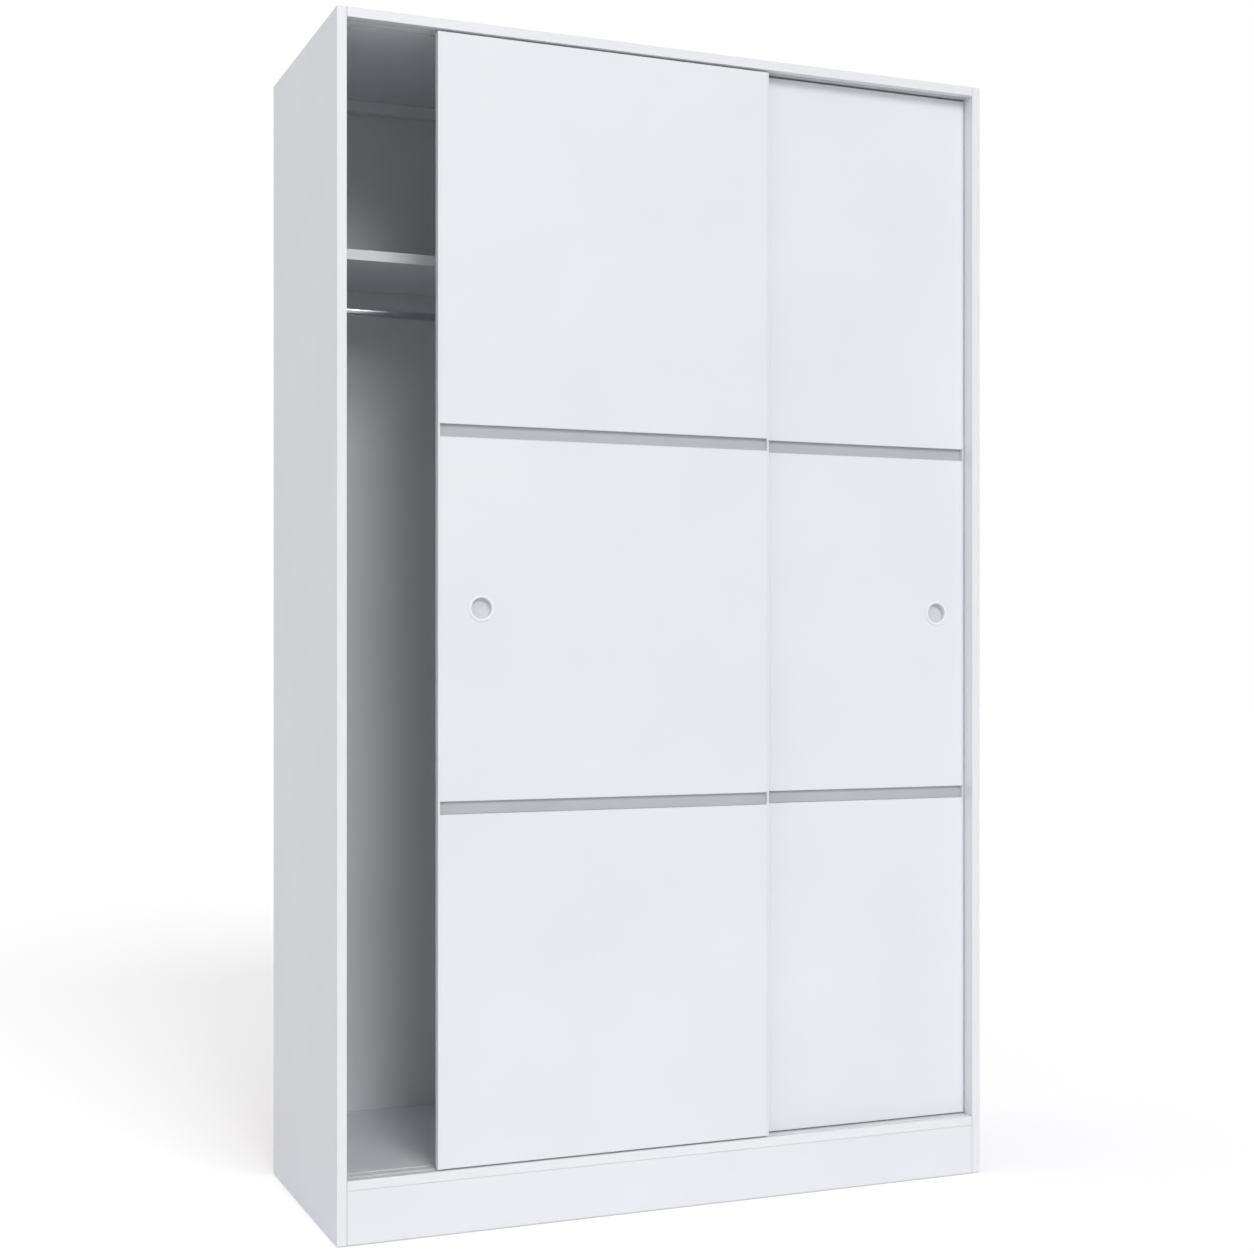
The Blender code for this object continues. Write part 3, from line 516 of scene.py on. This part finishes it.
def makeWheel(node):
    low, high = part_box(node)
    s = wheelSizes
    radius, half = (high.z - low.z) / 2, (high.y - low.y) / 2
    web, bevel = half - s["web"], s["shoulder"]
    tread, steps = half - bevel / 2, s["crownSteps"]
    profile = [(s["bore"], -half), (s["hub"], -half), (s["hub"] + bevel / 2, -web),
               (s["rim"] - bevel / 2, -web), (s["rim"], -half), (radius - bevel, -half)]
    profile += [(radius - s["crown"] * (step / steps) ** 2, tread * step / steps)
                for step in range(-steps, steps + 1)]
    profile += [(radius - bevel, half), (s["rim"], half), (s["rim"] - bevel / 2, web),
                (s["hub"] + bevel / 2, web), (s["hub"], half), (s["bore"], half)]
    piece = lathe(f"{node}_moulded", profile, (low + high) / 2, (0, 1, 0), s["segments"])
    standFor(piece, node, "nylon")


axleSizes = {"bevel": 0.3 * mm, "segments": 48}


def makeAxle(node):
    low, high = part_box(node)
    radius, half, bevel = (high.z - low.z) / 2, (high.y - low.y) / 2, axleSizes["bevel"]
    profile = [(0, -half), (radius - bevel, -half), (radius, bevel - half), (radius, half - bevel),
               (radius - bevel, half), (0, half)]
    piece = lathe(f"{node}_pin", profile, (low + high) / 2, (0, 1, 0), axleSizes["segments"])
    standFor(piece, node, "zinc_plated_steel")


pinSizes = {"stem": 2.5 * mm, "headLength": 7.7 * mm, "bevel": 0.6 * mm, "segments": 48}


def makeShelfPin(node, inwards):
    low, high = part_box(node)
    head, stem, bevel = (high.z - low.z) / 2, pinSizes["stem"], pinSizes["bevel"]
    length = high.x - low.x
    shoulder = length - pinSizes["headLength"]
    profile = [(0, 0), (stem - bevel / 2, 0), (stem, bevel / 2), (stem, shoulder), (head, shoulder)]
    profile += arc(head - bevel, length - bevel, bevel, 0, 90) + [(0, length)]
    start = low.x if inwards > 0 else high.x
    centre = (start, (low.y + high.y) / 2, (low.z + high.z) / 2)
    piece = lathe(f"{node}_stud", profile, centre, (inwards, 0, 0), pinSizes["segments"])
    standFor(piece, node, "zinc_plated_steel")


edgeSizes = {"face": 3.25 * mm, "fillet": 1.1 * mm, "filletSteps": 6, "spine": 1.8 * mm,
             "spineAt": 12.0 * mm}


def makeEdge(door, side):
    # the T-profile again, with its two outer corners rounded as they are extruded
    node = f"{door}_{side}_edge"
    low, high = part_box(node)
    s = edgeSizes
    reach, thick, r = high.x - low.x, high.y - low.y, s["fillet"]
    near, far = s["spineAt"] - s["spine"] / 2, s["spineAt"] + s["spine"] / 2
    outline = arc(r, r, r, 180, 270, s["filletSteps"])
    outline += [(s["face"], 0), (s["face"], near), (reach, near), (reach, far), (s["face"], far),
                (s["face"], thick)]
    outline += arc(r, thick - r, r, 90, 180, s["filletSteps"])
    shape = bmesh.new()
    ends = []
    for height in (low.z, high.z):
        ends.append([shape.verts.new((low.x + x if side == "left" else high.x - x, low.y + y, height))
                     for x, y in outline])
        shape.faces.new(ends[-1])
    for i, point in enumerate(ends[0]):
        j = (i + 1) % len(outline)
        shape.faces.new([point, ends[0][j], ends[1][j], ends[1][i]])
    piece = meshObject(f"{door}_{side}_edge_profile", shape)
    standFor(piece, node, "edge_trim")


# how wide the rounding is for each material, and how it is made
rounding = {"nylon": 0.8 * mm, "zinc_plated_steel": 0.4 * mm, "steps": 3, "profile": 0.5,
            "sameFlat": math.radians(1), "flatNormal": 0.9999}


def softenCopy(node, slot):
    # a moulded or pressed piece: its solid's own shape, with every sharp edge rounded
    shape = bmesh.new()
    shape.from_mesh(nodes[node].data)
    bmesh.ops.remove_doubles(shape, verts=shape.verts, dist=tiny)
    bmesh.ops.dissolve_limit(shape, angle_limit=rounding["sameFlat"], verts=shape.verts, edges=shape.edges)
    sharp = [edge for edge in shape.edges if edge.calc_face_angle(0.0) > smoothAngle]
    bmesh.ops.bevel(shape, geom=sharp, offset=rounding[slot], segments=rounding["steps"],
                    profile=rounding["profile"], affect="EDGES", clamp_overlap=True)
    piece = meshObject(f"{node}_softened", shape)
    for face in piece.data.polygons:  # the flats stay flat, and only the rounded edges are shaded smooth
        face.use_smooth = max(abs(part) for part in face.normal) < rounding["flatNormal"]
    standFor(piece, node, slot)


for door in doors:
    makePull(door)
    for side in sides:
        makeWheel(f"{door}_{side}_wheel")
        makeAxle(f"{door}_{side}_axle")
        makeEdge(door, side)
        softenCopy(f"{door}_{side}_roller_housing", "nylon")
        softenCopy(f"{door}_{side}_top_guide", "nylon")
softenCopy("wall_fixing_bracket", "zinc_plated_steel")
makeRail()
for side, inwards in sides.items():
    makeSocket(side, inwards)
    for row in ("front", "rear"):
        makeShelfPin(f"shelf_pin_{side}_{row}", inwards)
print("turned pieces made")


# Fasteners, made by one Geometry Nodes tree

# the two bars of the recess: length in head radii, and depth in recess depths. They are centred on the
# head's top, so that half of that depth cuts in
recessBars = {"length": 1.1, "depth": 2.0}


def fastenerTree():
    # a round head on each point, facing along the point's "facing", with a cross recess where one is asked
    tree = bpy.data.node_groups.new("fastenerHeads", "GeometryNodeTree")
    sockets = [("Geometry", "NodeSocketGeometry", None), ("Head Radius", "NodeSocketFloat", 3.0 * mm),
               ("Head Height", "NodeSocketFloat", 1.2 * mm), ("Crown", "NodeSocketFloat", 0.7),
               ("Recess Width", "NodeSocketFloat", 0.0), ("Recess Depth", "NodeSocketFloat", 0.8 * mm),
               ("Sides", "NodeSocketInt", 24), ("Seed", "NodeSocketInt", 7),
               ("Material", "NodeSocketMaterial", None)]
    for name, kind, value in sockets:
        socket = tree.interface.new_socket(name, in_out="INPUT", socket_type=kind)
        if value is not None:
            socket.default_value = value
    tree.interface.new_socket("Geometry", in_out="OUTPUT", socket_type="NodeSocketGeometry")
    given = addNode(tree, "NodeGroupInput", pick=None).outputs

    # head: a short cylinder, its upper rim drawn in to make the crown
    disc = addNode(tree, "GeometryNodeMeshCylinder",
                   {"Vertices": given["Sides"], "Radius": given["Head Radius"],
                    "Depth": given["Head Height"], "Side Segments": 2}, None)
    drawnIn = addNode(tree, "GeometryNodeScaleElements",
                      {0: disc.outputs[0], "Selection": disc.outputs["Top"], "Scale": given["Crown"]})
    half = addNode(tree, maths, {0: given["Head Height"], 1: 0.5}, operation="MULTIPLY")
    up = addNode(tree, "ShaderNodeCombineXYZ", {2: half})
    raised = addNode(tree, "GeometryNodeTransform", {0: drawnIn, "Translation": up})

    # cross recess
    barLength = addNode(tree, maths, {0: given["Head Radius"], 1: recessBars["length"]},
                        operation="MULTIPLY")
    barDepth = addNode(tree, maths, {0: given["Recess Depth"], 1: recessBars["depth"]},
                       operation="MULTIPLY")
    lift = addNode(tree, "ShaderNodeCombineXYZ", {2: given["Head Height"]})
    bars = []
    for first, second in ((barLength, given["Recess Width"]), (given["Recess Width"], barLength)):
        size = addNode(tree, "ShaderNodeCombineXYZ", {0: first, 1: second, 2: barDepth})
        bar = addNode(tree, "GeometryNodeMeshCube", {"Size": size})
        bars.append(addNode(tree, "GeometryNodeTransform", {0: bar, "Translation": lift}))
    cross = addNode(tree, "GeometryNodeMeshBoolean", {0: raised, 1: bars}, operation="DIFFERENCE")
    wanted = addNode(tree, "FunctionNodeCompare", {0: given["Recess Width"], 1: 0.0},
                     data_type="FLOAT", operation="GREATER_THAN")
    head = addNode(tree, "GeometryNodeSwitch", {"Switch": wanted, "False": raised, "True": cross},
                   input_type="GEOMETRY")

    # aimed along "facing", and turned about it by chance, as screws are
    facing = addNode(tree, "GeometryNodeInputNamedAttribute", {"Name": "facing"},
                     data_type="FLOAT_VECTOR")
    aim = addNode(tree, "FunctionNodeAlignRotationToVector", {"Vector": facing}, axis="Z")
    twist = addNode(tree, "FunctionNodeRandomValue", {2: 0.0, 3: math.tau, "Seed": given["Seed"]}, 1,
                    data_type="FLOAT")
    spin = addNode(tree, "FunctionNodeAxisAngleToRotation", {"Axis": (0, 0, 1), "Angle": twist})
    turned = addNode(tree, "FunctionNodeRotateRotation", {0: aim, 1: spin}, rotation_space="LOCAL")
    placed = addNode(tree, "GeometryNodeInstanceOnPoints",
                     {"Points": given["Geometry"], "Instance": head, "Rotation": turned})
    real = addNode(tree, "GeometryNodeRealizeInstances", {0: placed})
    painted = addNode(tree, "GeometryNodeSetMaterial", {0: real, "Material": given["Material"]})
    addNode(tree, "NodeGroupOutput", {0: painted}, None)
    return tree


heads = fastenerTree()


def fastenHeads(name, body, places, slot, settings):
    # places are (point, facing); the result is one plain mesh
    mesh = bpy.data.meshes.new(name)
    mesh.from_pydata([point for point, facing in places], [], [])
    attribute = mesh.attributes.new("facing", "FLOAT_VECTOR", "POINT")
    for item, (point, facing) in zip(attribute.data, places):
        item.vector = facing
    seeds = addObject(f"{name}_points", mesh)
    modifier = seeds.modifiers.new("heads", "NODES")
    modifier.node_group = heads
    wanted = {**settings, "Material": finishes[slot]}
    for item in heads.interface.items_tree:
        if item.in_out == "INPUT" and item.name in wanted:
            modifier[item.identifier] = wanted[item.name]
    bpy.context.view_layer.update()
    evaluated = seeds.evaluated_get(bpy.context.evaluated_depsgraph_get())
    plain = bpy.data.meshes.new_from_object(evaluated)
    seeds.modifiers.clear()
    bpy.data.objects.remove(seeds)
    plain.name = name
    piece = addObject(name, plain)
    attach(piece, body)


screwHead = {"Head Radius": 2.8 * mm, "Head Height": 1.2 * mm, "Crown": 0.72, "Recess Width": 0.7 * mm,
             "Recess Depth": 0.8 * mm, "Sides": 24, "Seed": 11}
nailHead = {"Head Radius": 1.6 * mm, "Head Height": 0.5 * mm, "Crown": 0.8, "Recess Width": 0.0,
            "Sides": 12, "Seed": 3}
camCap = {"Head Radius": 8.5 * mm, "Head Height": 0.6 * mm, "Crown": 0.93, "Recess Width": 0.0,
          "Sides": 48, "Seed": 5}
# each fitting's screws: how far out from its middle, and how far up from its foot
fittingScrews = {"roller_housing": (17.6 * mm, 25.0 * mm), "top_guide": (8.5 * mm, 20.0 * mm)}
socketRing = {"radius": 14.4 * mm, "turns": (90, 210, 330)}
# the bracket's holes are measured from its fold
bracketSizes = {"thickness": 2.0 * mm, "topHoles": 20.0 * mm, "pitch": 20.0 * mm, "wallHole": 12.0 * mm}


def doorScrews(door):
    places = []
    for side in sides:
        for fitting, (out, up) in fittingScrews.items():
            low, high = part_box(f"{door}_{side}_{fitting}")
            middle = (low.x + high.x) / 2
            places += [((middle + flip * out, high.y, low.z + up), (0, 1, 0)) for flip in (-1, 1)]
    return places


def socketScrews():
    places = []
    for side, inwards in sides.items():
        low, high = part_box(f"rail_socket_{side}")
        face = (low.x if inwards > 0 else high.x) + inwards * socketSizes["flange"]
        middleY, middleZ = (low.y + high.y) / 2, (low.z + high.z) / 2
        for turn in socketRing["turns"]:
            angle = math.radians(turn)
            places.append(((face, middleY + socketRing["radius"] * math.cos(angle),
                            middleZ + socketRing["radius"] * math.sin(angle)), (inwards, 0, 0)))
    return places


def bracketScrews():
    # two under the top leg, facing down, and one on the wall leg, facing the front
    low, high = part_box("wall_fixing_bracket")
    s = bracketSizes
    middle, half = (low.x + high.x) / 2, s["pitch"] / 2
    under, front = high.z - s["thickness"], high.y - s["thickness"]
    places = [((middle + flip * half, high.y - s["topHoles"], under), (0, 0, -1)) for flip in (-1, 1)]
    places.append(((middle, front, high.z - s["wallHole"]), (0, -1, 0)))
    return places


backNails = {"pitch": 105 * mm, "fromSide": 22 * mm}


def nailPlaces():
    rows = []
    for node in ("bottom_panel", "shelf", "rear_top_batten"):
        low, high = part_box(node)
        rows.append((low.z + high.z) / 2)
    left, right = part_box("back_panel_left"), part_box("back_panel_right")
    places = []
    for low, high in (left, right):
        start, stop = low.x + backNails["fromSide"], high.x - backNails["fromSide"]
        count = round((stop - start) / backNails["pitch"])
        for i in range(count + 1):
            x = start + (stop - start) * i / count
            places += [((x, high.y, z), (0, 1, 0)) for z in rows]
    return places


camCaps = {"fromEnd": 34 * mm, "fromFront": 55 * mm, "fromRear": 60 * mm}


def capPlaces():
    low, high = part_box("top_panel")
    ys = (low.y + camCaps["fromFront"], (low.y + high.y) / 2, high.y - camCaps["fromRear"])
    xs = (low.x + camCaps["fromEnd"], high.x - camCaps["fromEnd"])
    return [((x, y, high.z), (0, 0, 1)) for x in xs for y in ys]


for door in doors:
    fastenHeads(f"{door}_screws", door, doorScrews(door), "zinc_plated_steel", screwHead)
fastenHeads("cabinet_screws", "cabinet", socketScrews() + bracketScrews(), "zinc_plated_steel", screwHead)
fastenHeads("back_nails", "cabinet", nailPlaces(), "zinc_plated_steel", nailHead)
fastenHeads("cam_caps", "cabinet", capPlaces(), "pull_plastic", camCap)
print("fasteners made")


# Floor, light and camera

floorLook = {"size": 60.0, "colour": "#F0F0F2", "roughness": 0.95, "glow": "#FFFFFF", "lift": 0.34}


def makeFloor():
    half = floorLook["size"] / 2
    mesh = bpy.data.meshes.new("studio_floor")
    mesh.from_pydata([(-half, -half, 0), (half, -half, 0), (half, half, 0), (-half, half, 0)], [],
                     [(0, 1, 2, 3)])
    floor = addObject("studio_floor", mesh)
    # pale paper floor, lifted a little so that it runs into the backdrop without a horizon
    material, tree, shader = newMaterial("paleStudioPaper")
    shader.inputs["Base Color"].default_value = hexColour(floorLook["colour"])
    shader.inputs["Roughness"].default_value = floorLook["roughness"]
    shader.inputs["Emission Color"].default_value = hexColour(floorLook["glow"])
    seen = addNode(tree, "ShaderNodeLightPath", pick="Is Camera Ray")
    glow = addNode(tree, maths, {0: seen, 1: floorLook["lift"]}, operation="MULTIPLY")
    tree.links.new(glow, shader.inputs["Emission Strength"])
    mesh.materials.append(material)


roomLight = {"colour": "#FFFFFF", "level": 0.57, "towardsRight": -0.30, "towardsBack": 0.06,
             "backdrop": 1.0}


def makeWorld():
    # soft room light, stronger from the left and from behind, in front of a white backdrop
    world = bpy.data.worlds.new("softStudio")
    world.use_nodes = True
    bpy.context.scene.world = world
    tree = world.node_tree
    tree.nodes.clear()
    look = addNode(tree, "ShaderNodeTexCoord", pick="Generated")
    direction = addNode(tree, "ShaderNodeSeparateXYZ", {0: look}, None).outputs
    right = addNode(tree, maths, {0: direction[0], 1: roomLight["towardsRight"]}, operation="MULTIPLY")
    back = addNode(tree, maths, {0: direction[1], 1: roomLight["towardsBack"]}, operation="MULTIPLY")
    both = addNode(tree, maths, {0: right, 1: back}, operation="ADD")
    level = addNode(tree, maths, {0: both, 1: roomLight["level"]}, operation="ADD")
    seen = addNode(tree, "ShaderNodeLightPath", pick="Is Camera Ray")
    strength = addNode(tree, mix, {0: seen, 2: level, 3: roomLight["backdrop"]})
    background = addNode(tree, "ShaderNodeBackground", {"Color": roomLight["colour"],
                                                        "Strength": strength})
    addNode(tree, "ShaderNodeOutputWorld", {0: background}, None)


keyLight = {"right": 2.0, "up": 30.0, "softness": 25.0, "strength": 1.37}


def makeKey():
    # a distant softbox, so that both doors are lit alike from top to bottom
    light = bpy.data.lights.new("key_light", "SUN")
    light.energy = keyLight["strength"]
    light.angle = math.radians(keyLight["softness"])
    lamp = addObject("key_light", light)
    lamp.rotation_euler = (math.radians(90 - keyLight["up"]), 0, math.radians(keyLight["right"]))


view = {"eye": (-1.351, -3.4223, 0.950), "turn": 23.06, "lens": 57.35, "sensor": 36.0,
        "shiftX": -0.0423, "shiftY": 0.0245, "farthest": 100.0}


def makeCamera():
    data = bpy.data.cameras.new("camera")
    data.sensor_width = view["sensor"]
    data.lens = view["lens"]
    data.shift_x, data.shift_y = view["shiftX"], view["shiftY"]
    data.clip_end = view["farthest"]
    camera = addObject("camera", data)
    camera.location = view["eye"]
    camera.rotation_euler = (math.radians(90), 0, math.radians(-view["turn"]))
    bpy.context.scene.camera = camera


makeFloor()
makeWorld()
makeKey()
makeCamera()
bpy.context.scene.view_settings.view_transform = "Standard"
print("stage, light and camera set")
